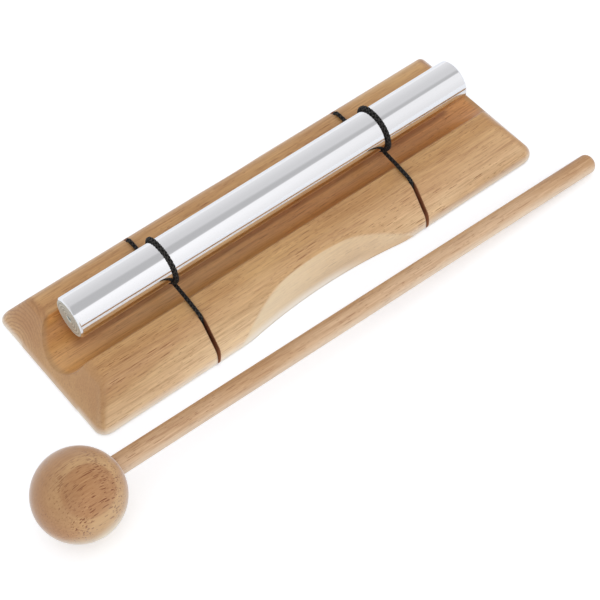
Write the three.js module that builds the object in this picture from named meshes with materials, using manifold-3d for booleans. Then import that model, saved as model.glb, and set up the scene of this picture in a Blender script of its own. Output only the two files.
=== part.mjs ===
// Chime bar: a solid aluminium bar slung on two braided cords over a coved wooden base, with its mallet.
// Millimetres, +Z up, +X along the bar. The origin is under the middle of the base, which stands on z = 0,
// and the mallet lies on the same surface on the -Y side.
import * as THREE from 'three';
import { mergeVertices } from 'three/addons/utils/BufferGeometryUtils.js';
import Module from 'manifold-3d';

const wasm = await Module();
wasm.setup();

// Base block, measured at its sharp lower outline before the edges are rounded
const baseLength = 237;
const baseWidth = 80.8;
const baseHeight = 18.4;
const endBevel = 12.1;
const flankBevel = 12.5;
const bottomRound = 1.2;
const topRound = 6;
const cornerRound = 5.5;

// Coved channel along the top, its rims eased
const channelRadius = 15.6;
const channelFloor = 5.9;
const rimRound = 1.2;

// Shallow scallop in the middle of each flank, a drum cut that leans like the drawn-in flank
const scallopRadius = 255;
const scallopDepth = 5.2;
const scallopTop = 17.4;

// Bar
const barDiameter = 19;
const barLength = 204.6;
const barAxisHeight = 29.1;
const barChamfer = 0.6;
const centreMarkDiameter = 3.2;
const centreMarkDepth = 1.4;

// The cords hold the bar where it doesn't move as it rings, at this share of its length from each end
const nodePointShare = 0.2242;

// Cords and the saw kerfs that hold them
const cordDiameter = 2;
const pinchedDiameter = 1.4;
const clearance = 0.3;
const turnPitch = 3.5;
const kerfFloor = 3;
const kerfLowerDepth = 5.2;
const kerfUpperDepth = 1.2;
const cordBend = 2.6;

// Knot recess under the back half of the base
const knotWidth = 6.4;
const knotHeight = 4.2;
const knotRecessRound = 1.3;
const knotOffset = 23;

// Mallet, lying on the surface on its ball and the tip of its stick. The bore was drilled a little off the
// ball's centre, up and towards the base as it lies.
const ballDiameter = 38.1;
const boreUp = 0.9;
const boreBack = 1.3;
const stickDiameter = 8.8;
const stickReach = 274.7;
const stickBoreDepth = 22;
const stickTipRound = 3;
const stickInnerChamfer = 0.8;
const malletLeft = 143;
const malletForward = 66.2;
const malletTurn = 1.13;

// Facets
const roundSteps = 6;
const cordSides = 8;
const turnSteps = 36;
const cuttingOverrun = 5;

// Sizes that follow from the ones above
const barRadius = barDiameter / 2;
const cordRadius = cordDiameter / 2;
const cordStation = barLength * (0.5 - nodePointShare);
const halfTopWidth = baseWidth / 2 - flankBevel;
const kerfWidth = pinchedDiameter + 2 * clearance;
const channelCentre = channelFloor + channelRadius;
const rimY = Math.sqrt((channelRadius + rimRound) ** 2 - (channelCentre - baseHeight + rimRound) ** 2);
const turnRadius = barRadius + clearance + cordRadius;
const cordLift = cordRadius + clearance;
const pinchedLift = pinchedDiameter / 2 + clearance;

// A manifold solid from a closed three.js geometry
function solid(geometry) {
  let bare = geometry.clone();
  bare.deleteAttribute('normal');
  bare.deleteAttribute('uv');
  bare = mergeVertices(bare, cordRadius / 1e4);
  const mesh = new wasm.Mesh({
    numProp: 3,
    vertProperties: new Float32Array(bare.attributes.position.array),
    triVerts: new Uint32Array(bare.index.array),
  });
  return new wasm.Manifold(mesh);
}

// A three.js geometry from a manifold solid
function shell(manifold) {
  const mesh = manifold.getMesh();
  const geometry = new THREE.BufferGeometry();
  const points = [];
  for (let i = 0; i < mesh.numVert; i += 1) {
    const at = i * mesh.numProp;
    points.push(mesh.vertProperties[at], mesh.vertProperties[at + 1], mesh.vertProperties[at + 2]);
  }
  geometry.setAttribute('position', new THREE.Float32BufferAttribute(points, 3));
  geometry.setIndex(Array.from(mesh.triVerts));
  geometry.computeVertexNormals();
  return geometry;
}

// Closed skin over a stack of rings with equal counts, with a fan over each end
function skin(rings) {
  const points = rings.flat();
  const count = rings[0].length;
  const faces = [];
  for (let r = 0; r + 1 < rings.length; r += 1) {
    for (let i = 0; i < count; i += 1) {
      const j = (i + 1) % count;
      const a = r * count + i;
      const b = r * count + j;
      faces.push(a, b, b + count, a, b + count, a + count);
    }
  }
  const last = (rings.length - 1) * count;
  for (let i = 1; i + 1 < count; i += 1) {
    faces.push(0, i + 1, i);
    faces.push(last, last + i, last + i + 1);
  }
  const geometry = new THREE.BufferGeometry();
  const flat = points.flatMap((p) => [p.x, p.y, p.z]);
  geometry.setAttribute('position', new THREE.Float32BufferAttribute(flat, 3));
  geometry.setIndex(faces);
  geometry.computeVertexNormals();
  return geometry;
}

// Points of a polyline whose inner corners are turned as arcs of the given radii
function rounded(corners, radii, steps) {
  const path = [corners[0]];
  for (let i = 1; i + 1 < corners.length; i += 1) {
    const here = corners[i];
    const back = corners[i - 1].clone().sub(here).normalize();
    const on = corners[i + 1].clone().sub(here).normalize();
    const half = Math.acos(back.dot(on)) / 2;
    const reach = radii[i - 1] / Math.tan(half);
    const from = here.clone().addScaledVector(back, reach);
    const to = here.clone().addScaledVector(on, reach);
    const middle = back.clone().add(on).normalize();
    const centre = here.clone().addScaledVector(middle, radii[i - 1] / Math.sin(half));
    const start = from.clone().sub(centre);
    const end = to.clone().sub(centre);
    const sweep = Math.PI - 2 * half;
    for (let s = 0; s <= steps; s += 1) {
      const t = s / steps;
      const a = Math.sin((1 - t) * sweep) / Math.sin(sweep);
      const b = Math.sin(t * sweep) / Math.sin(sweep);
      path.push(centre.clone().addScaledVector(start, a).addScaledVector(end, b));
    }
  }
  path.push(corners[corners.length - 1]);
  return path;
}

// Rounded rectangle of the block at one height
function blockOutline(halfLength, halfWidth, round, z) {
  const ring = [];
  const quarters = [[1, -1], [1, 1], [-1, 1], [-1, -1]];
  quarters.forEach(([sx, sy], q) => {
    for (let s = 0; s <= roundSteps; s += 1) {
      const angle = (q - 1 + s / roundSteps) * Math.PI / 2;
      const x = sx * (halfLength - round) + round * Math.cos(angle);
      const y = sy * (halfWidth - round) + round * Math.sin(angle);
      ring.push(new THREE.Vector3(x, y, z));
    }
  });
  return ring;
}

// Block with its four sides bevelled and its lower and upper edges rounded
function bevelledBlock() {
  const inset = 2 * flankBevel;
  const corners = [
    new THREE.Vector2(inset, 0),
    new THREE.Vector2(0, 0),
    new THREE.Vector2(flankBevel, baseHeight),
    new THREE.Vector2(inset, baseHeight),
  ];
  const edge = rounded(corners, [bottomRound, topRound], roundSteps).slice(1, -1);
  return skin(edge.map((p) => {
    const alongEnd = p.x * endBevel / flankBevel;
    return blockOutline(baseLength / 2 - alongEnd, baseWidth / 2 - p.x, cornerRound, p.y);
  }));
}

// Cutter for the channel: a round cove whose rims are eased into the top
function channelCutter() {
  const rimZ = baseHeight - rimRound;
  const touch = Math.atan2(channelCentre - rimZ, rimY);
  const outline = new THREE.Shape();
  outline.moveTo(-rimY, baseHeight + cuttingOverrun);
  outline.lineTo(-rimY, baseHeight);
  outline.absarc(-rimY, rimZ, rimRound, Math.PI / 2, touch, true);
  outline.absarc(0, channelCentre, channelRadius, Math.PI + touch, -touch, false);
  outline.absarc(rimY, rimZ, rimRound, Math.PI - touch, Math.PI / 2, true);
  outline.lineTo(rimY, baseHeight + cuttingOverrun);
  const depth = baseLength + 2 * cuttingOverrun;
  const cutter = new THREE.ExtrudeGeometry(outline, { depth, bevelEnabled: false, curveSegments: 4 * roundSteps });
  cutter.translate(0, 0, -depth / 2);
  cutter.rotateX(Math.PI / 2);
  cutter.rotateZ(Math.PI / 2);
  return cutter;
}

// Cutter for one scallop: a leaning drum that meets the flank at scallopTop in the middle
function scallopCutter(side) {
  const slope = flankBevel / baseHeight;
  const lean = slope - scallopDepth / scallopTop;
  const length = 3 * baseHeight;
  const drum = new THREE.CylinderGeometry(scallopRadius, scallopRadius, length, 48 * roundSteps);
  drum.rotateX(Math.PI / 2);
  drum.translate(0, side * scallopRadius, 0);
  drum.rotateX(side * Math.atan(lean));
  drum.translate(0, side * (baseWidth / 2 - scallopDepth), 0);
  return drum;
}

// Centre line of a cord's kerf floor over the base in one half, from the top down to under the base
function kerfLine(lift) {
  const slope = flankBevel / baseHeight;
  const topY = halfTopWidth - kerfUpperDepth;
  const lowY = baseWidth / 2 - slope * kerfFloor - kerfLowerDepth;
  const down = new THREE.Vector2(lowY - topY, kerfFloor - baseHeight).normalize();
  const out = new THREE.Vector2(-down.y, down.x);
  const along = (z) => {
    const from = new THREE.Vector2(topY, baseHeight).addScaledVector(out, lift);
    return new THREE.Vector2(from.x + (z - from.y) * down.x / down.y, z);
  };
  return { upper: along(baseHeight + lift), lower: along(kerfFloor - lift) };
}

// Cutter for the kerf of one cord: up both flanks and across the bottom
function kerfCutter() {
  const { upper, lower } = kerfLine(0);
  const far = baseWidth / 2 + cuttingOverrun;
  const inner = [
    new THREE.Vector2(-upper.x, baseHeight),
    new THREE.Vector2(-lower.x, kerfFloor),
    new THREE.Vector2(lower.x, kerfFloor),
    new THREE.Vector2(upper.x, baseHeight),
  ];
  const floor = rounded(inner, [cordBend, cordBend], roundSteps);
  const outline = new THREE.Shape();
  outline.moveTo(far, baseHeight + cuttingOverrun);
  floor.slice().reverse().forEach((p) => outline.lineTo(p.x, p.y));
  outline.lineTo(-far, baseHeight + cuttingOverrun);
  outline.lineTo(-far, -cuttingOverrun);
  outline.lineTo(far, -cuttingOverrun);
  const cutter = new THREE.ExtrudeGeometry(outline, { depth: kerfWidth, bevelEnabled: false });
  cutter.translate(0, 0, -kerfWidth / 2);
  cutter.rotateX(Math.PI / 2);
  cutter.rotateZ(Math.PI / 2);
  return cutter;
}

// Cutter for the recess that holds a cord's knot
function knotRecessCutter() {
  const radius = knotWidth / 2 + knotRecessRound;
  const depth = knotHeight + knotRecessRound;
  const cutter = new THREE.CylinderGeometry(radius, radius, depth + cuttingOverrun, 6 * roundSteps);
  cutter.rotateX(Math.PI / 2);
  cutter.translate(0, knotOffset, (depth - cuttingOverrun) / 2);
  return cutter;
}

function baseGeometry() {
  let block = solid(bevelledBlock()).subtract(solid(channelCutter()));
  for (const side of [-1, 1]) {
    block = block.subtract(solid(scallopCutter(side)));
    block = block.subtract(solid(kerfCutter()).translate([side * cordStation, 0, 0]));
    block = block.subtract(solid(knotRecessCutter()).translate([side * cordStation, 0, 0]));
  }
  return shell(block);
}

// Tube of round section along a path, each ring square to the path and kept upright against +X
function tube(path, radius, sides) {
  const rings = path.map((point, i) => {
    const before = path[Math.max(i - 1, 0)];
    const after = path[Math.min(i + 1, path.length - 1)];
    const along = after.clone().sub(before).normalize();
    const side = new THREE.Vector3(1, 0, 0).addScaledVector(along, -along.x).normalize();
    const up = along.clone().cross(side);
    return Array.from({ length: sides }, (_, s) => {
      const angle = 2 * Math.PI * (s + 0.5) / sides;
      return point.clone()
        .addScaledVector(side, radius * Math.cos(angle))
        .addScaledVector(up, radius * Math.sin(angle));
    });
  });
  return skin(rings);
}

// Straight run from one point to another in equal steps, its ends included
function run(from, to, steps) {
  return Array.from({ length: steps + 1 }, (_, i) => from.clone().lerp(to, i / steps));
}

// Where a straight leg from outside meets the turn: the angle from below the bar, towards the leg
function tangentAngle(y, z) {
  const drop = barAxisHeight - z;
  return Math.atan2(y, drop) - Math.acos(turnRadius / Math.hypot(y, drop));
}

// How far from the middle a sling ends and its tie goes on
function slingEnd() {
  return kerfLine(cordLift).upper.x - cordBend;
}

// One sling about x = 0: in from the front kerf over the channel's rim, under the bar, once round it
// and out over the other rim to the back kerf
function slingPath() {
  const startY = slingEnd();
  const z = baseHeight + cordLift;
  const first = tangentAngle(rimY, z);
  const turn = [];
  for (let i = 0; i <= turnSteps; i += 1) {
    const share = i / turnSteps;
    const angle = -first + share * (2 * Math.PI + 2 * first);
    turn.push(new THREE.Vector3(
      turnPitch * (share - 0.5),
      turnRadius * Math.sin(angle),
      barAxisHeight - turnRadius * Math.cos(angle),
    ));
  }
  const acrossRim = (end) => end.x * (startY - rimY) / (startY - Math.abs(end.y));
  const last = turn[turn.length - 1];
  const front = run(new THREE.Vector3(acrossRim(turn[0]), -rimY, z), turn[0], 4);
  const back = run(last, new THREE.Vector3(acrossRim(last), rimY, z), 4);
  const ends = [new THREE.Vector3(0, -startY, z), new THREE.Vector3(0, startY, z)];
  return [ends[0], ...front.slice(0, -1), ...turn, ...back.slice(1), ends[1]];
}

// Least distance between the surfaces of parts of a cord that are more than a quarter turn apart
function leastSelfGap(path) {
  let least = Infinity;
  const apart = Math.PI * turnRadius / 2;
  const fine = new THREE.CatmullRomCurve3(path).getSpacedPoints(10 * turnSteps);
  const step = fine[0].distanceTo(fine[1]);
  for (let i = 0; i < fine.length; i += 1) {
    for (let j = i + Math.ceil(apart / step); j < fine.length; j += 1) {
      least = Math.min(least, fine[i].distanceTo(fine[j]));
    }
  }
  return least - cordDiameter;
}

// The rest of a cord about x = 0: from the front top edge down, under the base and up the back
function tiePath() {
  const { upper, lower } = kerfLine(pinchedLift);
  const startY = slingEnd() + clearance;
  const z = baseHeight + cordLift;
  const corners = [
    new THREE.Vector3(0, -startY, z),
    new THREE.Vector3(0, -upper.x, upper.y),
    new THREE.Vector3(0, -lower.x, lower.y),
    new THREE.Vector3(0, lower.x, lower.y),
    new THREE.Vector3(0, upper.x, upper.y),
    new THREE.Vector3(0, startY, z),
  ];
  const bend = (cordBend - clearance) / 2;
  return rounded(corners, [bend, cordBend, cordBend, bend], 4);
}

// A cord's knot: a flattened bead fused to the cord in its recess
function tieGeometry() {
  const bead = new THREE.SphereGeometry(knotWidth / 2, 16, 10);
  bead.scale(1, 1, knotHeight / knotWidth);
  bead.translate(0, knotOffset, knotHeight / 2 + clearance);
  return shell(solid(tube(tiePath(), pinchedDiameter / 2, cordSides)).add(solid(bead)));
}

// Bar on its axis through the origin along +Z, with chamfered ends and a small centre mark in each
function barGeometry() {
  const half = barLength / 2;
  const mark = centreMarkDiameter / 2;
  const profile = [
    new THREE.Vector2(0, -half + centreMarkDepth),
    new THREE.Vector2(mark, -half),
    new THREE.Vector2(barRadius - barChamfer, -half),
    new THREE.Vector2(barRadius, -half + barChamfer),
    new THREE.Vector2(barRadius, half - barChamfer),
    new THREE.Vector2(barRadius - barChamfer, half),
    new THREE.Vector2(mark, half),
    new THREE.Vector2(0, half - centreMarkDepth),
  ];
  return new THREE.LatheGeometry(profile, 12 * roundSteps).rotateX(Math.PI / 2);
}

// Mallet ball about the origin, bored beside its centre from the side that the stick comes from, +Z here
function ballGeometry() {
  const radius = ballDiameter / 2;
  const ball = new THREE.SphereGeometry(radius, 8 * roundSteps, 4 * roundSteps);
  const length = stickBoreDepth + cuttingOverrun;
  const width = stickDiameter / 2 + clearance;
  const bore = new THREE.CylinderGeometry(width, width, length, 5 * roundSteps);
  bore.rotateX(Math.PI / 2);
  bore.translate(-boreUp, boreBack, radius - stickBoreDepth + length / 2);
  return shell(solid(ball).subtract(solid(bore)));
}

// Mallet stick along +Z from the bore floor to its rounded tip, level with the ball's centre at the origin
function stickGeometry() {
  const radius = stickDiameter / 2;
  const foot = ballDiameter / 2 - stickBoreDepth + clearance;
  const profile = [
    new THREE.Vector2(0, foot),
    new THREE.Vector2(radius - stickInnerChamfer, foot),
    new THREE.Vector2(radius, foot + stickInnerChamfer),
  ];
  for (let i = 0; i <= roundSteps; i += 1) {
    const angle = (Math.PI / 2) * i / roundSteps;
    profile.push(new THREE.Vector2(
      radius - stickTipRound + stickTipRound * Math.cos(angle),
      stickReach - stickTipRound + stickTipRound * Math.sin(angle),
    ));
  }
  profile.push(new THREE.Vector2(0, stickReach));
  return new THREE.LatheGeometry(profile, 5 * roundSteps).rotateX(Math.PI / 2);
}

// Materials
function material(color, roughness, metalness) {
  return new THREE.MeshStandardMaterial({ color, roughness, metalness });
}
const baseWood = 0xc69a6d;
const malletWood = 0xc8a077;
const aluminium = 0xe3e4e8;
const cordBlack = 0x1b1a19;

function part(name, geometry, finish) {
  const mesh = new THREE.Mesh(geometry, finish);
  mesh.name = name;
  return mesh;
}

const group = new THREE.Group();
group.add(part('base', baseGeometry(), material(baseWood, 0.6, 0)));

const bar = part('bar', barGeometry(), material(aluminium, 0.12, 1));
bar.rotation.y = Math.PI / 2;
bar.position.z = barAxisHeight;
group.add(bar);

const cords = [['left', -1], ['right', 1]];
for (const [name, side] of cords) {
  const sling = part(`${name}_cord_sling`, tube(slingPath(), cordRadius, cordSides), material(cordBlack, 0.85, 0));
  const tie = part(`${name}_cord_tie`, tieGeometry(), material(cordBlack, 0.85, 0));
  sling.position.x = side * cordStation;
  tie.position.x = side * cordStation;
  group.add(sling, tie);
}
console.log(`least gap of a sling to itself: ${leastSelfGap(slingPath()).toFixed(2)} mm`);

// The mallet's axis runs from the ball's centre down to the tip, both resting on the surface
const mallet = new THREE.Group();
mallet.add(part('mallet_ball', ballGeometry(), material(malletWood, 0.6, 0)));
const stick = part('mallet_stick', stickGeometry(), material(malletWood, 0.6, 0));
stick.position.set(-boreUp, boreBack, 0);
mallet.add(stick);
const drop = (ballDiameter - stickDiameter) / 2 + boreUp;
const dip = Math.asin(drop / (stickReach - stickTipRound));
mallet.rotation.set(0, Math.PI / 2 + dip, THREE.MathUtils.degToRad(malletTurn), 'ZYX');
mallet.position.set(-malletLeft, -malletForward, ballDiameter / 2);
group.add(mallet);

export default group;
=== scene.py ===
# Chime bar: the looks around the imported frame. Metres, +Z up, +X along the bar, the mallet on the -Y side.
import math

import bmesh
import bpy
import numpy as np
from mathutils import Matrix, Vector


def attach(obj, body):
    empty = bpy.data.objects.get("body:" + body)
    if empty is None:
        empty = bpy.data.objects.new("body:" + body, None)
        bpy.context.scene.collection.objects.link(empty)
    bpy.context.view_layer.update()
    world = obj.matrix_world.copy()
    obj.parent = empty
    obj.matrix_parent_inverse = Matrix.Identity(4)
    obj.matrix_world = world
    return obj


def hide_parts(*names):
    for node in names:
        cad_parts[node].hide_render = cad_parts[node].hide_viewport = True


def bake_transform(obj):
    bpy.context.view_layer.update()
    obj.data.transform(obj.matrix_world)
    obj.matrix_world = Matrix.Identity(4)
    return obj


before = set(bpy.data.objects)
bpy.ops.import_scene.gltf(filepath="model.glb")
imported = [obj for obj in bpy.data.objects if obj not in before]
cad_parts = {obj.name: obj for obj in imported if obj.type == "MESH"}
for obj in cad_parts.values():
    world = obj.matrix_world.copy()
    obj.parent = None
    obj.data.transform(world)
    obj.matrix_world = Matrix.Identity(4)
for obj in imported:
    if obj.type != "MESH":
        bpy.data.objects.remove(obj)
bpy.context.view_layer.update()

MM = 0.001

# Camera, solved from the photograph's frame of 600 by 600 pixels
LENS = 111.085
SENSOR = 36
CAMERA_YAW = math.radians(-33.25896)
CAMERA_ELEVATION = math.radians(52.62868)
CAMERA_ROLL = math.radians(-5.52726)
CAMERA_DISTANCE = 786.055 * MM
CAMERA_TARGET = Vector((-12.5024, -34.535, 0)) * MM

# Base block, as in the part's source, but there its upright corners have the foot's radius all the way
# up, and its right front corner isn't worn and its back foot doesn't flare.
BASE_LENGTH = 237
BASE_WIDTH = 80.8
BASE_HEIGHT = 18.4
END_BEVEL = 12.1
FLANK_BEVEL = 12.5
BOTTOM_ROUND = 1.2
TOP_ROUND = 6
FOOT_CORNER_ROUND = 5.5
WORN_CORNER = 2.5
TOP_CORNER_ROUND = 2
CORNER_EASING = 7
CHANNEL_RADIUS = 15.6
CHANNEL_FLOOR = 5.9
RIM_ROUND = 1.2
BACK_FLARE = 1.3
SCALLOP_RADIUS = 255
SCALLOP_DEPTH = 5.2
SCALLOP_TOP = 17.4
OVERRUN = 5
BASE_SHARP_ANGLE = 24

# Bar. Its chamfer is wider than in the part's source, and its edges are broken by the small steps here.
BAR_RADIUS = 9.5
BAR_LENGTH = 204.6
BAR_AXIS_HEIGHT = 29.1
BAR_CHAMFER = 0.9
CENTRE_MARK_RADIUS = 1.6
CENTRE_MARK_DEPTH = 1.4
CENTRE_MARK_POINT = 0.05
CENTRE_MARK_FLARE = 0.15
EDGE_RUN = 0.12
EDGE_LAND = 0.1
EDGE_BREAK = 0.05
MARK_FACE_REACH = 3
BAR_SHARP_ANGLE = 30
NODE_POINT_SHARE = 0.2242

# Cords and kerfs. Each kerf is deeper than in the part's source, lies a little to its left and narrows
# at the foot, and the lower ends of the front ones stray further to the left.
CORD_RADIUS = 1
PINCHED_RADIUS = 0.7
CLEARANCE = 0.3
CORD_GAP = 0.05
KERF_FLOOR = 3
KERF_HALF_WIDTH = 1
KERF_FOOT_SHARE = 0.65
KERF_UPPER_DEPTH = 2.2
KERF_LOWER_DEPTH = 7
KERF_DEEPENING = 9
KERF_STRAY = 3
KERF_STRAY_HEIGHT = 6
KERF_SHIFT = {"left": -0.3, "right": -0.8}
SLING_END = 24.5
EDGE_TURN_DOWN = 1.2
EDGE_TURN_OUT = 1.6
EDGE_TURN_UP = 0.45
KNOT_WIDTH = 6.4
KNOT_HEIGHT = 4.2
KNOT_RECESS_ROUND = 1.3
KNOT_OFFSET = 23
KNOT_SCALE = 0.62
KNOT_MIDDLE = 2.2
KNOT_WAVE = 0.75
KNOT_CORD_RADIUS = 0.9

# Mallet. The stick fills its bore more closely than in the part's source.
BALL_RADIUS = 19.05
BORE_UP = 0.9
BORE_BACK = 1.3
STICK_RADIUS = 4.4
STICK_REACH = 274.7
STICK_BORE_DEPTH = 22
STICK_TIP_ROUND = 3
STICK_FOOT_CHAMFER = 0.8
BORE_GAP = 0.05
POLE_RADIUS = 0.02
MALLET_SHARP_ANGLE = 35
MALLET_LEFT = 143
MALLET_FORWARD = 66.2
MALLET_TURN = math.radians(1.13)
MALLET_GRAIN_TURN = (0, -0.0573, -0.0197)

FLOOR_REACH = 3000

BALL_CENTRE = (-MALLET_LEFT, -MALLET_FORWARD, BALL_RADIUS)
CORD_STATION = BAR_LENGTH * (0.5 - NODE_POINT_SHARE)
STATIONS = (("left", -CORD_STATION), ("right", CORD_STATION))
CHANNEL_CENTRE = CHANNEL_FLOOR + CHANNEL_RADIUS
RIM_Y = math.sqrt((CHANNEL_RADIUS + RIM_ROUND) ** 2 - (CHANNEL_CENTRE - BASE_HEIGHT + RIM_ROUND) ** 2)
FLANK_SLOPE = FLANK_BEVEL / BASE_HEIGHT


# Geometry helpers, in millimetres until a mesh is made

def smooth_step(value):
    t = max(0, min(1, value))
    return t * t * (3 - 2 * t)


def mesh_object(name, points, faces):
    mesh = bpy.data.meshes.new(name)
    mesh.from_pydata([tuple(c * MM for c in p) for p in points], [], faces)
    mesh.validate()
    mesh.update()
    obj = bpy.data.objects.new(name, mesh)
    bpy.context.scene.collection.objects.link(obj)
    return obj


# Closed skin over rings of equal count, with one face over each end
def skin(name, rings):
    count = len(rings[0])
    points = [p for ring in rings for p in ring]
    faces = []
    for r in range(len(rings) - 1):
        for i in range(count):
            j = (i + 1) % count
            a, b = r * count + i, r * count + j
            faces.append((a, b, b + count, a + count))
    last = (len(rings) - 1) * count
    faces.append(tuple(range(count))[::-1])
    faces.append(tuple(range(last, last + count)))
    return mesh_object(name, points, faces)


# Points of an arc from one angle to another
def arc(cx, cy, radius, start, end, steps):
    angles = [start + (end - start) * i / steps for i in range(steps + 1)]
    return [(cx + radius * math.cos(a), cy + radius * math.sin(a)) for a in angles]


# Polyline in a plane with its inner corners turned as arcs
def rounded(corners, radii, steps):
    path = [Vector(corners[0])]
    for i in range(1, len(corners) - 1):
        here = Vector(corners[i])
        back = (Vector(corners[i - 1]) - here).normalized()
        ahead = (Vector(corners[i + 1]) - here).normalized()
        half = math.acos(max(-1, min(1, back.dot(ahead)))) / 2
        reach = radii[i - 1] / math.tan(half)
        centre = here + (back + ahead).normalized() * radii[i - 1] / math.sin(half)
        start = here + back * reach - centre
        end = here + ahead * reach - centre
        sweep = math.pi - 2 * half
        for s in range(steps + 1):
            t = s / steps
            a = math.sin((1 - t) * sweep) / math.sin(sweep)
            b = math.sin(t * sweep) / math.sin(sweep)
            path.append(centre + start * a + end * b)
    path.append(Vector(corners[-1]))
    return path


# The block's corners are rounder at its foot than above, and the right front one is worn more
def block_outline(half_length, half_width, z, steps):
    easing = smooth_step(z / CORNER_EASING)
    radius = FOOT_CORNER_ROUND + (TOP_CORNER_ROUND - FOOT_CORNER_ROUND) * easing
    ring = []
    for q, (sx, sy) in enumerate(((1, -1), (1, 1), (-1, 1), (-1, -1))):
        worn = radius + (WORN_CORNER * (1 - easing) if q == 0 else 0)
        for s in range(steps + 1):
            angle = (q - 1 + s / steps) * math.pi / 2
            x = sx * (half_length - worn) + worn * math.cos(angle)
            y = sy * (half_width - worn) + worn * math.sin(angle)
            flare = BACK_FLARE * (1 - z / BASE_HEIGHT) if y > 0 else 0
            ring.append((x, y + flare, z))
    return ring


def block():
    inset = 2 * FLANK_BEVEL
    corners = [(inset, 0), (0, 0), (FLANK_BEVEL, BASE_HEIGHT), (inset, BASE_HEIGHT)]
    rings = []
    turned = rounded(corners, [BOTTOM_ROUND, TOP_ROUND], 14)[1:-1]
    straight = [turned[14].lerp(turned[15], i / 12) for i in range(1, 12)]
    for x, z in turned[:15] + straight + turned[15:]:
        end = x * END_BEVEL / FLANK_BEVEL
        rings.append(block_outline(BASE_LENGTH / 2 - end, BASE_WIDTH / 2 - x, z, 12))
    return skin("block", rings)


# Prism along X over an outline in Y and Z
def prism(name, outline, x0, x1):
    return skin(name, [[(x, y, z) for y, z in outline] for x in (x0, x1)])


def channel_cutter():
    rim_z = BASE_HEIGHT - RIM_ROUND
    touch = math.atan2(CHANNEL_CENTRE - rim_z, RIM_Y)
    top = BASE_HEIGHT + OVERRUN
    outline = [(-RIM_Y, top)]
    outline += arc(-RIM_Y, rim_z, RIM_ROUND, math.pi / 2, touch, 8)
    outline += arc(0, CHANNEL_CENTRE, CHANNEL_RADIUS, math.pi + touch, 2 * math.pi - touch, 64)[1:-1]
    outline += arc(RIM_Y, rim_z, RIM_ROUND, math.pi - touch, math.pi / 2, 8)
    outline += [(RIM_Y, top)]
    reach = BASE_LENGTH / 2 + OVERRUN
    return prism("channel", outline, -reach, reach)


# Slice of the leaning drum that cuts a scallop
def scallop_cutter(side):
    lean = math.atan(FLANK_SLOPE - SCALLOP_DEPTH / SCALLOP_TOP)
    turn = Matrix.Rotation(side * lean, 3, "X")
    shift = Vector((0, side * (BASE_WIDTH / 2 - SCALLOP_DEPTH), 0))
    spread = math.radians(15)
    rings = []
    for z in (-BASE_HEIGHT, 2 * BASE_HEIGHT):
        arc_points = arc(0, SCALLOP_RADIUS, SCALLOP_RADIUS, -math.pi / 2 - spread, -math.pi / 2 + spread, 72)
        ring = [turn @ Vector((x, side * y, z)) + shift for x, y in arc_points]
        rings.append(ring)
    return skin("scallop", rings)


# How far from the middle plane a kerf's floor lies at a height
def kerf_inner(z):
    low = max(z, KERF_FLOOR)
    deepening = smooth_step((BASE_HEIGHT - low) / KERF_DEEPENING)
    depth = KERF_UPPER_DEPTH + (KERF_LOWER_DEPTH - KERF_UPPER_DEPTH) * deepening
    return BASE_WIDTH / 2 - FLANK_SLOPE * low - depth


# Sideways offset of a front kerf at a height
def kerf_stray(z):
    t = max(0, min(1, (KERF_STRAY_HEIGHT - z) / KERF_STRAY_HEIGHT))
    return -KERF_STRAY * t * t


def kerf_cutter(x, side):
    far = side * (BASE_WIDTH / 2 + OVERRUN)
    steps = 60
    rings = []
    for i in range(steps + 1):
        z = -OVERRUN + (BASE_HEIGHT + 2 * OVERRUN) * i / steps
        widening = smooth_step(z / KERF_STRAY_HEIGHT)
        half = KERF_HALF_WIDTH * (KERF_FOOT_SHARE + (1 - KERF_FOOT_SHARE) * widening)
        middle = x + (kerf_stray(z) if side < 0 else 0)
        inner = side * kerf_inner(min(z, BASE_HEIGHT))
        rings.append([(middle - half, far, z), (middle + half, far, z), (middle + half, inner, z),
                      (middle - half, inner, z)])
    return skin("kerf", rings)


def under_cutter(x):
    reach = kerf_inner(0) + CLEARANCE
    rings = []
    for y in (-reach, reach):
        middle = x + (kerf_stray(KERF_FLOOR) if y < 0 else 0)
        low, high = -OVERRUN, KERF_FLOOR
        rings.append([(middle + h * KERF_HALF_WIDTH, y, z)
                      for h, z in ((-1, low), (1, low), (1, high), (-1, high))])
    return skin("under", rings)


def recess_cutter(station):
    radius = KNOT_WIDTH / 2 + KNOT_RECESS_ROUND
    depth = KNOT_HEIGHT + KNOT_RECESS_ROUND
    circle = arc(0, 0, radius, 0, 2 * math.pi, 48)[:-1]
    rings = [[(station + x, KNOT_OFFSET + y, z) for x, y in circle] for z in (-OVERRUN, depth)]
    return skin("recess", rings)


# Turns every face of a closed mesh outward
def outward(obj):
    work = bmesh.new()
    work.from_mesh(obj.data)
    bmesh.ops.recalc_face_normals(work, faces=work.faces)
    work.to_mesh(obj.data)
    work.free()


def applied(obj, name):
    graph = bpy.context.evaluated_depsgraph_get()
    mesh = bpy.data.meshes.new_from_object(obj.evaluated_get(graph))
    mesh.name = name
    done = bpy.data.objects.new(name, mesh)
    bpy.context.scene.collection.objects.link(done)
    bpy.data.objects.remove(obj)
    return done


# Smooth shading with sharp edges kept above an angle, and flat faces kept flat beside rounded ones
def finish_shading(obj, angle):
    obj.data.shade_smooth()
    obj.data.set_sharp_from_angle(angle=math.radians(angle))
    weighted = obj.modifiers.new("weighted", "WEIGHTED_NORMAL")
    weighted.keep_sharp = True


def cut(obj, cutter, material):
    outward(cutter)
    cutter.data.materials.append(material)
    difference = obj.modifiers.new("cut", "BOOLEAN")
    difference.operation = "DIFFERENCE"
    difference.solver = "EXACT"
    difference.material_mode = "TRANSFER"
    difference.object = cutter
    done = applied(obj, obj.name)
    bpy.data.objects.remove(cutter)
    return done


# Node trees

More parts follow.
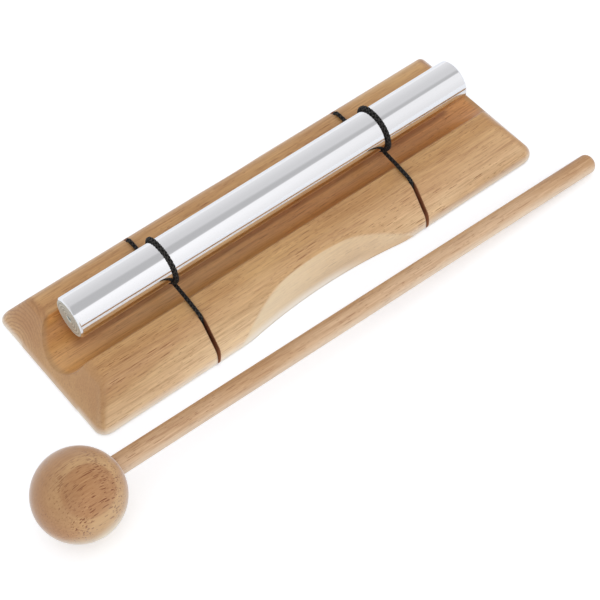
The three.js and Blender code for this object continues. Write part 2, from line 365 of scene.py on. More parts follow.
class Graph:
    def __init__(self, tree):
        self.tree = tree
        tree.nodes.clear()

    def node(self, kind, inputs=None, **settings):
        made = self.tree.nodes.new("ShaderNode" + kind)
        for key, value in settings.items():
            setattr(made, key, value)
        for key, value in (inputs or {}).items():
            if isinstance(value, bpy.types.NodeSocket):
                self.tree.links.new(value, made.inputs[key])
            else:
                made.inputs[key].default_value = value
        return made

    def math(self, operation, *values, clamp=False):
        inputs = dict(enumerate(values))
        return self.node("Math", inputs, operation=operation, use_clamp=clamp).outputs[0]

    def mix(self, factor, a, b, blend="MIX"):
        made = self.node("Mix", {0: factor, 6: a, 7: b}, data_type="RGBA", blend_type=blend)
        return made.outputs[2]

    # A tone multiplied by a colour where the factor is high
    def tint(self, factor, tone, colour):
        return self.mix(factor, tone, self.mix(1.0, tone, colour, "MULTIPLY"))

    def between(self, factor, a, b):
        return self.node("Mix", {0: factor, 2: a, 3: b}, data_type="FLOAT").outputs[0]

    def distance(self, a, b):
        squares = self.math("ADD", self.math("MULTIPLY", a, a), self.math("MULTIPLY", b, b))
        return self.math("SQRT", squares)

    def dot(self, vector, direction):
        return self.node("VectorMath", {0: vector, 1: direction}, operation="DOT_PRODUCT").outputs[1]

    def ramp(self, value, low, high, to_low, to_high):
        inputs = {0: value, 1: low, 2: high, 3: to_low, 4: to_high}
        return self.node("MapRange", inputs).outputs[0]

    def band(self, value, low, high, to_low=0.0, to_high=1.0):
        inputs = {0: value, 1: low, 2: high, 3: to_low, 4: to_high}
        return self.node("MapRange", inputs, interpolation_type="SMOOTHSTEP").outputs[0]

    def noise(self, vector, scales, detail=2, roughness=0.5, distortion=0):
        place = self.node("Mapping", {"Vector": vector, "Scale": scales})
        inputs = {"Vector": place.outputs[0], "Scale": 1, "Detail": detail, "Roughness": roughness,
                  "Distortion": distortion}
        return self.node("TexNoise", inputs).outputs[0]


def linear(red, green, blue):
    def one(c):
        c = c / 255
        return c / 12.92 if c <= 0.04045 else ((c + 0.055) / 1.055) ** 2.4
    return one(red), one(green), one(blue), 1


def new_material(name):
    material = bpy.data.materials.new(name)
    material.use_nodes = True
    return material, Graph(material.node_tree)


# Position in millimetres, turned into the grain's own directions and shifted to another part of the board
def grain_position(g, turn, shift):
    position = g.node("TexCoord").outputs["Object"]
    inputs = {"Vector": position, "Location": shift, "Rotation": turn, "Scale": (1000, 1000, 1000)}
    return g.node("Mapping", inputs).outputs[0]


# Position in millimetres, whole and as its three parts
def object_position(g):
    position = g.node("TexCoord").outputs["Object"]
    scaled = g.node("VectorMath", {0: position, "Scale": 1000.0}, operation="SCALE").outputs[0]
    return scaled, g.node("SeparateXYZ", {0: scaled}).outputs


# Short dashes along the grain: one in some cells of a stretched pattern of cells
def dashes(g, p, scales, size, chance):
    place = g.node("Mapping", {"Vector": p, "Scale": scales}).outputs[0]
    cells = g.node("TexVoronoi", {"Vector": place, "Scale": 1})
    near = g.band(cells.outputs["Distance"], size * 0.75, size, 1.0, 0.0)
    lot = g.node("SeparateColor", {0: cells.outputs["Color"]}).outputs
    depth = g.math("MULTIPLY", g.math("LESS_THAN", lot[0], chance), g.band(lot[1], 0, 1, 0.25, 1.0))
    return g.math("MULTIPLY", near, depth)


# Light wood: growth rings about a pith, long streaks, fine fibre and open pores, all along local X
def wood(name, light, middle, dark, pith, turn=(0, 0, 0), shift=(0, 0, 0), pores=1.0, spacing=7.0,
         ringed=0.3, touch=None, soften=0.0, roughness=0.35, lines=1.0, wander=14.0,
         cloudy=1.0, pore_width=0.26, sheen=0.4, long_cells=(0.085, 1.35, 1.35),
         short_cells=(0.3, 1.9, 1.9)):
    material, g = new_material(name)
    p = grain_position(g, turn, shift)
    xyz = g.node("SeparateXYZ", {0: p}).outputs
    warp = g.noise(p, (0.006, 0.03, 0.03), 2)
    across = g.math("SUBTRACT", xyz[1], pith[0])
    above = g.math("SUBTRACT", xyz[2], pith[1])
    radius = g.math("MULTIPLY_ADD", warp, wander, g.distance(across, above))
    ring = g.math("FRACT", g.math("DIVIDE", radius, spacing))
    late = g.math("MULTIPLY", g.band(ring, 0.0, 0.45), g.band(ring, 0.94, 1.0, 1.0, 0.0))
    cloud = g.noise(p, (0.014, 0.06, 0.06), 3)
    streak = g.noise(p, (0.01, 0.4, 0.4), 4, 0.65)
    fibre = g.noise(p, (0.06, 1.3, 1.3), 3, 0.75)
    tone = g.mix(g.math("MULTIPLY", g.band(cloud, 0.36, 0.66), cloudy), light, middle)
    tone = g.mix(g.math("MULTIPLY", late, ringed), tone, middle)
    tone = g.mix(g.math("MULTIPLY", g.band(streak, 0.48, 0.72), 0.36 * lines), tone, dark)
    tone = g.mix(g.math("MULTIPLY", g.band(fibre, 0.48, 0.7), 0.5 * lines), tone, dark)
    pale = tuple(min(1, c * 1.2) for c in light)
    tone = g.mix(g.math("MULTIPLY", g.band(fibre, 0.48, 0.3), 0.4 * lines), tone, pale)
    crowd = g.band(g.noise(p, (0.016, 0.07, 0.07), 2), 0.38, 0.6)
    long_pore = dashes(g, p, long_cells, pore_width, 0.6)
    short_pore = dashes(g, p, short_cells, 0.28, 0.6)
    strength = g.math("MULTIPLY", g.math("MULTIPLY_ADD", crowd, 0.65, 0.35), pores)
    any_pore = g.math("MAXIMUM", long_pore, g.math("MULTIPLY", short_pore, 0.8))
    open_pore = g.math("MULTIPLY", any_pore, strength)
    pore_colour = tuple(c * share for c, share in zip(dark, (0.8, 0.66, 0.5, 1)))
    tone = g.mix(g.math("MULTIPLY", open_pore, 0.95), tone, pore_colour)
    if touch:
        tone = touch(g, tone)
    height = g.math("SUBTRACT", g.math("MULTIPLY", fibre, 0.3), open_pore)
    inputs = {"Height": height, "Strength": 0.3, "Distance": 0.1 * MM}
    if soften:
        inputs["Normal"] = g.node("Bevel", {"Radius": soften * MM}, samples=6).outputs[0]
    bump = g.node("Bump", inputs)
    shader = g.node("BsdfPrincipled", {"Base Color": tone, "Roughness": roughness, "Normal": bump.outputs[0],
                                       "Specular IOR Level": 0.5, "Sheen Weight": sheen,
                                       "Sheen Roughness": 0.3})
    g.node("OutputMaterial", {0: shader.outputs[0]})
    return material


# The board's tones. Painted light: flanks paler than the top, scallops palest, foot faded. Bevelled ends
# pinkish, with painted light and shade on them; painted shade in the channel
def board_tones(g, tone):
    scaled, (x, y, z) = object_position(g)
    wide, long = g.math("ABSOLUTE", y), g.math("ABSOLUTE", x)
    line = g.math("MULTIPLY_ADD", z, -FLANK_SLOPE, BASE_WIDTH / 2)
    inside = g.math("MULTIPLY", g.math("SUBTRACT", line, wide), math.cos(math.atan(FLANK_SLOPE)))
    # Painted light: the flanks paler and less saturated than the top, palest low down, a little less towards
    # the ends
    flank_painted_light = g.band(inside, 0.6, 4.5, 1.0, 0.0)
    low = g.math("MULTIPLY", g.band(z, 18, 3, 0.0, 1.0), g.band(long, 55, 95, 1.0, 0.6))
    tone = g.tint(flank_painted_light, tone, g.mix(low, (1.0, 1.06, 1.22, 1), (1.44, 1.82, 2.7, 1)))
    # Painted light: the scallops paler still, most towards the left
    lip = g.band(z, 13.5, 16, 0.1, 0.85)
    ends = g.math("MULTIPLY", g.band(x, -57, -51), g.band(x, 46, 52, 1.0, 0.0))
    hollow = g.math("MULTIPLY", g.band(g.math("SUBTRACT", inside, lip), 0.0, 0.5), ends)
    outer = g.math("MULTIPLY", g.band(wide, 20, 22), g.band(z, 17.6, 18.0, 1.0, 0.0))
    strength = g.band(x, -35, 30, 0.74, 0.44)
    scallop = g.math("MULTIPLY", g.math("MULTIPLY", hollow, outer), strength)
    tone = g.mix(scallop, tone, linear(246, 228, 194))
    end_line = g.math("MULTIPLY_ADD", z, -END_BEVEL / BASE_HEIGHT, BASE_LENGTH / 2)
    end_face = g.band(g.math("SUBTRACT", end_line, long), 0.4, 3.4, 1.0, 0.0)
    # The bevelled ends: pinkish, with painted shade on their back side and painted light towards their foot
    back_side = g.band(y, 6, 24)
    end_foot_painted_light = g.math("MULTIPLY", g.band(z, 2, 9, 1.0, 0.0), g.math("MULTIPLY_ADD", back_side, 0.6, 0.4))
    end_tone = g.mix(back_side, linear(183, 138, 90), linear(166, 118, 76))
    tone = g.mix(g.math("MULTIPLY", end_face, 0.62), tone, g.mix(end_foot_painted_light, end_tone, linear(204, 168, 126)))
    speck = g.band(g.noise(scaled, (0.3, 1.2, 1.2), 2, 0.7), 0.52, 0.68)
    ring_y = g.math("SUBTRACT", g.math("MULTIPLY_ADD", g.noise(scaled, (0.3, 0.12, 0.12), 2), 7.0, y), 28.0)
    ring_z = g.math("ADD", z, 4.0)
    arcs = g.math("SINE", g.math("MULTIPLY", g.distance(ring_y, ring_z), 4.4))
    arcs = g.math("MULTIPLY", g.band(arcs, 0.0, 0.9), g.math("MULTIPLY_ADD", back_side, 0.34, 0.06))
    end_mark = g.math("MULTIPLY_ADD", speck, 0.16, arcs)
    tone = g.mix(g.math("MULTIPLY", end_face, end_mark), tone, linear(150, 104, 66))
    cove = g.math("MULTIPLY", g.band(wide, 15.8, 16.8, 1.0, 0.0), g.band(z, 17.4, 18.3, 1.0, 0.0))
    cove = g.math("MULTIPLY", cove, g.math("SUBTRACT", g.band(z, 4.5, 5.5), end_face), clamp=True)
    # In the channel: a redder tint, more so on the right, painted shade darkening it away from its middle,
    # and a painted shadow of the bar along its back half, short of the ends
    channel_tint_and_painted_shade = g.mix(g.band(x, -30, 20), (1.1, 1.02, 0.94, 1), (1.17, 1.0, 0.82, 1))
    channel_tint_and_painted_shade = g.tint(g.band(wide, 3.5, 8), channel_tint_and_painted_shade, (0.9, 0.83, 0.66, 1))
    bar_painted_shadow = g.math("MULTIPLY", g.band(y, 1.2, 3.2), g.band(long, 98, 104, 1.0, 0.0))
    channel_tint_and_painted_shade = g.tint(bar_painted_shadow, channel_tint_and_painted_shade, (0.6, 0.5, 0.44, 1))
    tone = g.tint(cove, tone, channel_tint_and_painted_shade)
    # Painted light: the channel's steep upper walls brighter
    steep_painted_light = g.math("MULTIPLY", g.band(z, 14.5, 17), cove)
    tone = g.tint(steep_painted_light, tone, (1.3, 1.36, 1.5, 1))
    # Painted light: the foot fades to near white, to cream under the right scallop
    foot = g.math("MULTIPLY", g.band(z, 0.4, 4.2, 0.9, 0.0), g.band(z, 0.02, 0.3))
    pale = g.mix(g.math("MULTIPLY", hollow, g.band(x, 0, 30)), linear(252, 245, 232), linear(234, 204, 164))
    return g.mix(g.math("MULTIPLY", foot, g.band(wide, 20, 22, 0.5, 1.0)), tone, pale)


# Directions of the mallet's painted light and shade, and the cream of the ball's painted light
FRONT_FOOT = (0.2, -0.86, -0.47)
UPPER_LEFT = (-0.71, -0.17, 0.69)
BALL_PAINTED_LIGHT_CREAM = linear(236, 222, 192)


# The stick's painted light and shade: paler along its front foot, browner along its back
def stick_tones(g, tone):
    front = g.dot(g.node("TexCoord").outputs["Normal"], FRONT_FOOT)
    tone = g.mix(g.band(front, 0.25, 1.0, 0.0, 0.45), tone, linear(245, 230, 206))
    return g.tint(g.band(front, -0.2, -1.0), tone, (0.88, 0.8, 0.66, 1))


# The ball's tones, all painted light and shade: browner on the side of the base and on its upper left, paler
# on its front and towards its foot
def ball_tones(g, tone):
    scaled, parts = object_position(g)
    tone = g.mix(g.band(parts[1], -72, -54, 0.0, 0.6), tone, linear(180, 140, 100))
    place = g.node("VectorMath", {0: scaled, 1: BALL_CENTRE}, operation="SUBTRACT").outputs[0]
    upper_left_painted_shade = g.dot(place, UPPER_LEFT)
    tone = g.mix(g.band(upper_left_painted_shade, 12, 18, 0.0, 0.5), tone, linear(166, 122, 80))
    # Painted light: paler, then cream, towards its rim on the front
    front = g.dot(place, FRONT_FOOT)
    tone = g.mix(g.band(front, 8, 14, 0.0, 0.35), tone, linear(214, 184, 142))
    tone = g.mix(g.band(front, 15, 19, 0.0, 0.5), tone, BALL_PAINTED_LIGHT_CREAM)
    # Painted light: cream towards its foot
    height = parts[2]
    low = g.math("MULTIPLY", g.band(height, 20, 11, 0.0, 0.48), g.band(height, 1, 7, 0.2, 1.0))
    return g.mix(low, tone, BALL_PAINTED_LIGHT_CREAM)


base_wood = wood("base_wood", linear(214, 171, 114), linear(196, 148, 94), linear(152, 99, 53),
                 pith=(24, -70), touch=board_tones, soften=1.0, roughness=0.3)
mallet_wood = wood("mallet_wood", linear(217, 184, 148), linear(193, 151, 107), linear(154, 104, 62),
                   pith=(18, -30), shift=(40, 13, 57), turn=MALLET_GRAIN_TURN, pores=0.8,
                   touch=stick_tones)
ball_wood = wood("ball_wood", linear(203, 163, 113), linear(174, 122, 76), linear(140, 84, 42),
                 pith=(-119.3, 93.8), turn=MALLET_GRAIN_TURN, spacing=17.26, ringed=0.75, pores=2.4,
                 touch=ball_tones, lines=0.8, wander=3.0, cloudy=0.3,
                 long_cells=(0.07, 1.9, 0.75), short_cells=(0.24, 2.2, 1.0), pore_width=0.36, sheen=1.0)


def kerf_material():
    material, g = new_material("kerf_burnt")
    p = grain_position(g, (0, 0, 0), (0, 0, 0))
    soot = g.noise(p, (0.5, 0.5, 0.5), 3)
    tone = g.mix(soot, linear(192, 130, 92), linear(150, 96, 64))
    shader = g.node("BsdfPrincipled", {"Base Color": tone, "Roughness": 0.7})
    g.node("OutputMaterial", {0: shader.outputs[0]})
    return material


def aluminium_material():
    material, g = new_material("polished_aluminium")
    p = grain_position(g, (0, 0, 0), (0, 0, 0))
    draw = g.noise(p, (0.03, 2.5, 2.5), 3)
    bump = g.node("Bump", {"Height": draw, "Strength": 0.1, "Distance": 0.01 * MM})
    shader = g.node("BsdfPrincipled", {"Base Color": (0.91, 0.915, 0.925, 1), "Metallic": 1,
                                       "Roughness": 0.08, "Normal": bump.outputs[0]})
    g.node("OutputMaterial", {0: shader.outputs[0]})
    return material


def turned_material():
    material, g = new_material("turned_aluminium")
    p = grain_position(g, (0, 0, 0), (0, 0, 0))
    xyz = g.node("SeparateXYZ", {0: p}).outputs
    radius = g.distance(xyz[1], g.math("SUBTRACT", xyz[2], BAR_AXIS_HEIGHT))
    broad = g.math("SINE", g.math("MULTIPLY", radius, 4.1))
    fine = g.math("SINE", g.math("MULTIPLY", radius, 9.3))
    groove = g.math("MULTIPLY_ADD", fine, 0.6, broad)
    tone = g.mix(g.band(groove, -1.2, 1.2), (0.34, 0.36, 0.31, 1), (0.72, 0.75, 0.67, 1))
    # Painted shade: the centre mark darker
    tone = g.mix(g.band(radius, 1.2, 1.7, 0.75, 0.0), tone, (0.16, 0.17, 0.15, 1))
    bump = g.node("Bump", {"Height": groove, "Strength": 0.3, "Distance": 0.03 * MM})
    shader = g.node("BsdfPrincipled", {"Base Color": tone, "Metallic": 0.5, "Roughness": 0.3,
                                       "Normal": bump.outputs[0]})
    g.node("OutputMaterial", {0: shader.outputs[0]})
    return material


def cord_material():
    material, g = new_material("black_cord")
    p = grain_position(g, (0, 0, 0), (0, 0, 0))
    yarn = g.noise(p, (5, 5, 5), 3)
    # Painted light and shade: the strands' crowns lighter, their sides and the strands that run under darker
    painted_crown_light = g.node("Attribute", attribute_name="painted_crown_light").outputs["Fac"]
    lit = g.math("MULTIPLY", painted_crown_light, g.band(yarn, 0.3, 0.7, 0.5, 1.0))
    tone = g.mix(lit, (0.0015, 0.0014, 0.0014, 1), (0.07, 0.066, 0.06, 1))
    shader = g.node("BsdfPrincipled", {"Base Color": tone, "Roughness": 0.6, "Specular IOR Level": 0.3})
    g.node("OutputMaterial", {0: shader.outputs[0]})
    return material


kerf_burnt = kerf_material()
polished = aluminium_material()
turned = turned_material()
black_cord = cord_material()


# Base

def make_base():
    base = block()
    outward(base)
    base.name = "base_block"
    base.data.materials.append(base_wood)
    base = cut(base, channel_cutter(), base_wood)
    for side in (-1, 1):
        base = cut(base, scallop_cutter(side), base_wood)
    for name, station in STATIONS:
        x = station + KERF_SHIFT[name]
        for side in (-1, 1):
            base = cut(base, kerf_cutter(x, side), kerf_burnt)
        base = cut(base, under_cutter(x), kerf_burnt)
        base = cut(base, recess_cutter(station), base_wood)
    finish_shading(base, BASE_SHARP_ANGLE)
    base = applied(base, "base_block")
    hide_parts("base")
    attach(base, "base")


make_base()


# Bar: a lathe profile of (x, radius) turned about the bar's axis

def lathe(name, profile, sides):
    angles = [2 * math.pi * s / sides for s in range(sides)]
    rings = []
    for x, radius in profile:
        rings.append([(x, radius * math.cos(angle), radius * math.sin(angle)) for angle in angles])
    return skin(name, rings)


def make_bar():
    half = BAR_LENGTH / 2
    inner = BAR_RADIUS - BAR_CHAMFER
    right = [(half - CENTRE_MARK_DEPTH, CENTRE_MARK_POINT)]
    right += [(half - EDGE_RUN, CENTRE_MARK_RADIUS), (half, CENTRE_MARK_RADIUS + CENTRE_MARK_FLARE)]
    right += [(half, inner - EDGE_LAND), (half - EDGE_BREAK, inner + EDGE_BREAK)]
    right += [(half - BAR_CHAMFER + EDGE_BREAK, BAR_RADIUS - EDGE_BREAK)]
    right += [(half - BAR_CHAMFER - EDGE_RUN, BAR_RADIUS)]
    profile = [(-x, r) for x, r in right] + right[::-1]
    bar = lathe("bar_rod", profile, 160)
    outward(bar)
    bar.data.materials.append(polished)
    bar.data.materials.append(turned)
    for face in bar.data.polygons:
        if abs(face.normal.x) > 0.9 or math.hypot(face.center.y, face.center.z) < MARK_FACE_REACH * MM:
            face.material_index = 1
    bar.data.transform(Matrix.Translation((0, 0, BAR_AXIS_HEIGHT * MM)))
    finish_shading(bar, BAR_SHARP_ANGLE)
    bar = applied(bar, "bar_rod")
    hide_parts("bar")
    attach(bar, "bar")


make_bar()


# Cords: strands braided one over one round a path, over a plain core

STRAND_PAIRS = 3
BRAID_PITCH = 6.6
STRAND_STEP = 0.33
CORE_SHARE = 0.5


# Points along a polyline at even steps, with its corners eased
def resampled(path, step, ease):
    points = np.array(path, dtype=float)
    length = np.concatenate([[0], np.cumsum(np.linalg.norm(np.diff(points, axis=0), axis=1))])
    count = int(round(length[-1] / step)) + 1
    at = np.linspace(0, length[-1], count)
    line = np.stack([np.interp(at, length, points[:, k]) for k in range(3)], axis=1)
    reach = int(math.ceil(3 * ease / step))
    weights = np.exp(-0.5 * (np.arange(-reach, reach + 1) * step / ease) ** 2)
    weights /= weights.sum()
    padded = np.pad(line, ((reach, reach), (0, 0)), mode="edge")
    eased = np.stack([np.convolve(padded[:, k], weights, mode="valid") for k in range(3)], axis=1)
    eased[0], eased[-1] = line[0], line[-1]
    return eased


# Frames along a path: a side direction as near X as can be, and one across it
def frames(points):
    tangents = np.gradient(points, axis=0)
    tangents /= np.linalg.norm(tangents, axis=1)[:, None]
    side = np.array([1, 0, 0]) - tangents * tangents[:, :1]
    side /= np.linalg.norm(side, axis=1)[:, None]
    return side, np.cross(tangents, side)


def braid(name, points, radii, first=0, last=None):
    side, up = frames(points)
    last = len(points) if last is None else last
    rows = range(first, last)
    verts, faces, painted_crown_light = [], [], []

    def tube(centres, across, outward_way, wide, thick, sides, over):
        start = len(verts)
        for i in range(len(centres)):
            for s in range(sides):
                a = 2 * math.pi * s / sides
                verts.append(centres[i] + outward_way[i] * (thick[i] * math.cos(a))
                             + across[i] * (wide[i] * math.sin(a)))
                # Painted light: each strand lit along its crown where it runs over, shaded at its sides and
                # where it runs under
                painted_crown_light.append(over[i] * max(0, math.cos(a)))
            if i:
                here, before = start + i * sides, start + (i - 1) * sides
                for s in range(sides):
                    t = (s + 1) % sides
                    faces.append((before + s, before + t, here + t, here + s))
        faces.append(tuple(range(start, start + sides))[::-1])
        faces.append(tuple(range(len(verts) - sides, len(verts))))

    for way in (-1, 1):
        for k in range(STRAND_PAIRS):
            centres, across, outs, over = [], [], [], []
            for i in rows:
                turn = 2 * math.pi * i * STRAND_STEP / BRAID_PITCH
                angle = way * turn + 2 * math.pi * k / STRAND_PAIRS
                lift = way * math.cos(STRAND_PAIRS * turn)
                out = radii[i] * (0.6 + 0.15 * lift)
                normal = side[i] * math.cos(angle) + up[i] * math.sin(angle)
                centres.append(points[i] + normal * out)
                across.append(up[i] * math.cos(angle) - side[i] * math.sin(angle))
                outs.append(normal)
                over.append(smooth_step(0.5 + 0.6 * lift))
            tube(centres, across, outs, radii[first:last] * 0.4, radii[first:last] * 0.27, 6, over)
    core = radii[first:last] * CORE_SHARE
    tube(points[first:last], up[first:last], side[first:last], core, core, 10, np.zeros(last - first))
    cord = mesh_object(name, verts, faces)
    cord.data.attributes.new("painted_crown_light", "FLOAT", "POINT").data.foreach_set("value", painted_crown_light)
    outward(cord)
    cord.data.shade_smooth()
    cord.data.materials.append(black_cord)
    return cord


TURN_RADIUS = BAR_RADIUS + CORD_RADIUS
LEG_GAP = 0.1
LEG_HEIGHT = BASE_HEIGHT + CORD_RADIUS + LEG_GAP
# Offsets along the bar of one turn: under it, behind, on top, in front and under again. In the part's
# source the two legs lie on each other's side, and the turn stands further off the bar.
TURN_OFFSETS = ((0, 1.5), (0.25, 0.6), (0.5, 0.1), (0.75, 0.5), (0.87, 0.9), (0.95, -0.7), (1, -1.0))


# Half of a cord's path from the middle of the underside out, up a kerf and over the edge to its sling
def tie_half(x, side):
    under = KERF_FLOOR - PINCHED_RADIUS - CORD_GAP
    low = kerf_inner(KERF_FLOOR) + PINCHED_RADIUS

    def stray(z):
        return kerf_stray(z) if side < 0 else 0

    half = []
    for share in (0, 0.25, 0.5, 0.75, 1):
        half.append((x + stray(KERF_FLOOR) * share, side * low * share, under))
    steps = 24
    for i in range(steps + 1):
        z = KERF_FLOOR + (BASE_HEIGHT - EDGE_TURN_DOWN - KERF_FLOOR) * i / steps
        half.append((x + stray(z), side * (kerf_inner(z) + PINCHED_RADIUS + CORD_GAP), z))
    half.append((x, side * (SLING_END + EDGE_TURN_OUT), BASE_HEIGHT + EDGE_TURN_UP))
    half.append((x, side * SLING_END, LEG_HEIGHT))
    return half


# A whole cord, from the middle of the underside over the front, once round the bar and back
def cord_path(name, station):
    x = station + KERF_SHIFT[name]
    drop = BAR_AXIS_HEIGHT - LEG_HEIGHT
    first = math.atan2(RIM_Y, drop) - math.acos(TURN_RADIUS / math.hypot(RIM_Y, drop))
    steps = 120
    turn = []
    for i in range(steps + 1):
        share = i / steps
        angle = -first + share * (2 * math.pi + 2 * first)
        offset = float(np.interp(share, *zip(*TURN_OFFSETS)))
        turn.append((station + offset, TURN_RADIUS * math.sin(angle),
                     BAR_AXIS_HEIGHT - TURN_RADIUS * math.cos(angle)))

    def rim(end, side):
        share = (SLING_END - RIM_Y) / (SLING_END - abs(end[1]))
        return x + (end[0] - x) * share, side * RIM_Y, LEG_HEIGHT

    return tie_half(x, -1) + [rim(turn[0], -1)] + turn + [rim(turn[-1], 1)] + tie_half(x, 1)[::-1]


def make_cord(name, station):
    line = resampled(cord_path(name, station), STRAND_STEP, 0.7)
    height, across = line[:, 2], line[:, 1]
    on_top = height > BASE_HEIGHT - 1
    front_end = int(np.argmax(on_top & (across > -SLING_END)))
    back_end = len(line) - int(np.argmax((on_top & (across < SLING_END))[::-1]))
    top = int(np.argmax(height))
    index = np.arange(len(line))
    distance = np.minimum(np.abs(index - front_end), np.abs(index - back_end))
    tied = (index < front_end) | (index > back_end)
    pinch = np.where(tied, np.clip(distance * STRAND_STEP / 4 - 0.5, 0, 1), 0)
    radii = CORD_RADIUS + (PINCHED_RADIUS - CORD_RADIUS) * pinch
    pieces = (("front", front_end, top + 1, -1), ("back", top, back_end + 1, 1))
    for part, first, last, way in pieces:
        piece = braid(name + "_cord_" + part, line, radii, first, last)
        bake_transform(piece)
        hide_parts(name + "_cord_sling")
    for part, first, last in (("front_tie", 0, front_end + 1), ("back_tie", back_end, len(line))):
        piece = braid(name + "_cord_" + part, line, radii, first, last)
        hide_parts(name + "_cord_tie")
        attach(piece, "base")


# An overhand knot, flattened into its recess
def make_knot(name, station):
    path = []
    steps = 90
    for i in range(steps + 1):
        a = 2 * math.pi * i / steps
        path.append((station + KNOT_SCALE * (math.sin(a) + 2 * math.sin(2 * a)),
                     KNOT_OFFSET + KNOT_SCALE * (math.cos(a) - 2 * math.cos(2 * a)),
                     KNOT_MIDDLE - KNOT_WAVE * math.sin(3 * a)))
    line = resampled(path, STRAND_STEP, 0.2)
    knot = braid(name + "_cord_knot", line, np.full(len(line), KNOT_CORD_RADIUS))
    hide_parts(name + "_cord_tie")
    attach(knot, "base")


for cord_name, cord_station in STATIONS:
    make_cord(cord_name, cord_station)
    make_knot(cord_name, cord_station)


# Mallet, its own axis from the ball's centre to the tip

DROP = BALL_RADIUS - STICK_RADIUS + BORE_UP
DIP = math.asin(DROP / (STICK_REACH - STICK_TIP_ROUND))
MALLET_PLACE = (Matrix.Translation(Vector(BALL_CENTRE) * MM)
                @ Matrix.Rotation(MALLET_TURN, 4, "Z") @ Matrix.Rotation(DIP, 4, "Y"))
BORE_SHIFT = Matrix.Translation(Vector((0, BORE_BACK, BORE_UP)) * MM)


def make_mallet():
    steps = 64
    profile = []
    for i in range(1, steps):
        a = math.pi * i / steps
        profile.append((-BALL_RADIUS * math.cos(a), BALL_RADIUS * math.sin(a)))
    profile = [(-BALL_RADIUS, POLE_RADIUS)] + profile + [(BALL_RADIUS, POLE_RADIUS)]
    ball = lathe("mallet_head", profile, 96)
    outward(ball)
    ball.data.materials.append(ball_wood)
    bore = lathe("bore", [(BALL_RADIUS - STICK_BORE_DEPTH, STICK_RADIUS + BORE_GAP),
                          (BALL_RADIUS + OVERRUN, STICK_RADIUS + BORE_GAP)], 64)
    bore.data.transform(BORE_SHIFT)
    ball = cut(ball, bore, ball_wood)
    ball.data.transform(MALLET_PLACE)
    finish_shading(ball, MALLET_SHARP_ANGLE)
    ball = applied(ball, "mallet_head")
    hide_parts("mallet_ball")
    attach(ball, "mallet")

    foot = BALL_RADIUS - STICK_BORE_DEPTH + CLEARANCE
    profile = [(foot, STICK_RADIUS - STICK_FOOT_CHAMFER), (foot + STICK_FOOT_CHAMFER, STICK_RADIUS)]
    profile += [(foot + 20 + i * 10, STICK_RADIUS) for i in range(25)]
    tip = STICK_REACH - STICK_TIP_ROUND
    for i in range(11):
        a = math.pi / 2 * i / 10
        profile.append((tip + STICK_TIP_ROUND * math.sin(a),
                        STICK_RADIUS - STICK_TIP_ROUND * (1 - math.cos(a))))
    stick = lathe("mallet_dowel", profile, 64)
    outward(stick)
    stick.data.transform(MALLET_PLACE @ BORE_SHIFT)
    stick.data.materials.append(mallet_wood)
    finish_shading(stick, MALLET_SHARP_ANGLE)
    stick = applied(stick, "mallet_dowel")
    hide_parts("mallet_stick")
    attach(stick, "mallet")


make_mallet()


# Floor: matt white, brighter to the camera's rays and a little to glossy ones

def floor_material():
    material, g = new_material("floor_white")
    path = g.node("LightPath")
    shader = g.node("BsdfPrincipled", {"Base Color": (0.9, 0.93, 0.96, 1), "Roughness": 0.9,
                                       "Specular IOR Level": 0.1})
    direct = g.math("MAXIMUM", path.outputs["Is Camera Ray"], path.outputs["Is Transmission Ray"])
    seen = g.math("MULTIPLY_ADD", direct, 0.3, g.math("MULTIPLY", path.outputs["Is Glossy Ray"], 0.05))
    glow = g.node("Emission", {"Color": (1, 1, 1, 1), "Strength": seen})
    both = g.node("AddShader", {0: shader.outputs[0], 1: glow.outputs[0]})
    g.node("OutputMaterial", {0: both.outputs[0]})
    return material


floor_corners = [(x * FLOOR_REACH, y * FLOOR_REACH, 0) for x, y in ((-1, -1), (1, -1), (1, 1), (-1, 1))]
floor = mesh_object("floor", floor_corners, [(0, 1, 2, 3)])
floor.data.materials.append(floor_material())


# World: glossy rays see a studio whose soft boxes leave a grey gap overhead, along X, the camera's rays
# see plain white, and all others get a softer light

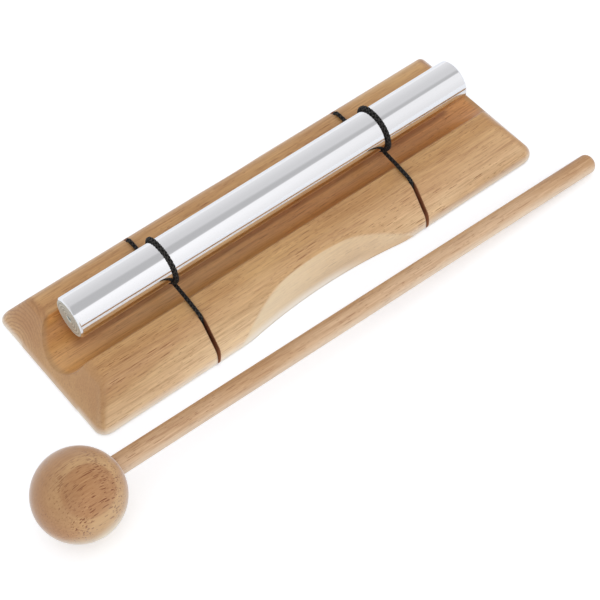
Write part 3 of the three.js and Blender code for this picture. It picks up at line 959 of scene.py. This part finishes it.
def make_world():
    world = bpy.data.worlds.new("studio")
    world.use_nodes = True
    bpy.context.scene.world = world
    g = Graph(world.node_tree)
    direction = g.node("TexCoord").outputs["Generated"]
    along, across, up = g.node("SeparateXYZ", {0: direction}).outputs
    degrees = g.math("MULTIPLY", g.math("ARCTAN2", up, across), 180 / math.pi)
    low_edge = g.ramp(along, 0.22, 0.42, 79, 94)
    high_edge = g.ramp(along, 0.22, 0.46, 127, 108)
    path = g.node("LightPath")
    back = g.math("MULTIPLY", g.band(degrees, 0, 75, 0.85, 0.7), g.band(degrees, -2, 14, 1.22, 1.0))
    fading = g.ramp(along, 0.3, 0.42, 1.07, 0.94)
    front = g.math("MULTIPLY", g.band(degrees, 130, 180, 1.0, 0.9), fading)
    above_low = g.band(g.math("SUBTRACT", degrees, low_edge), -9, 6)
    above_high = g.band(g.math("SUBTRACT", degrees, high_edge), -4, 4)
    light = g.between(above_high, g.between(above_low, back, 0.53), front)
    # What lights the wood: even from behind and above, up to 1.6 times as strong from low in front
    low_front = g.math("MULTIPLY", g.band(across, -1.0, 0.2, 1.0, 0.0), g.band(up, 0.1, 0.9, 1.0, 0.0))
    soft = g.math("MULTIPLY_ADD", low_front, 0.55, 0.9)
    shown = g.between(path.outputs["Is Glossy Ray"], soft, light)
    direct = g.math("MAXIMUM", path.outputs["Is Camera Ray"], path.outputs["Is Transmission Ray"])
    shown = g.between(direct, shown, 1.0)
    backdrop = g.node("Background", {"Color": (0.985, 0.98, 1, 1), "Strength": shown})
    g.node("OutputWorld", {0: backdrop.outputs[0]})


make_world()


# Camera

def make_camera():
    a, e, roll = CAMERA_YAW, CAMERA_ELEVATION, CAMERA_ROLL
    back = Vector((math.sin(a) * math.cos(e), -math.cos(a) * math.cos(e), math.sin(e)))
    right = (-back).cross(Vector((0, 0, 1))).normalized()
    up = right.cross(-back)
    turned_right = right * math.cos(roll) + up * math.sin(roll)
    turned_up = up * math.cos(roll) - right * math.sin(roll)
    data = bpy.data.cameras.new("camera")
    data.sensor_width = SENSOR
    data.lens = LENS
    data.clip_start = 0.01
    data.clip_end = 20
    camera = bpy.data.objects.new("camera", data)
    bpy.context.scene.collection.objects.link(camera)
    axes = Matrix((turned_right, turned_up, back)).transposed().to_4x4()
    camera.matrix_world = Matrix.Translation(CAMERA_TARGET + back * CAMERA_DISTANCE) @ axes
    bpy.context.scene.camera = camera


make_camera()

bpy.context.scene.view_settings.view_transform = "Standard"
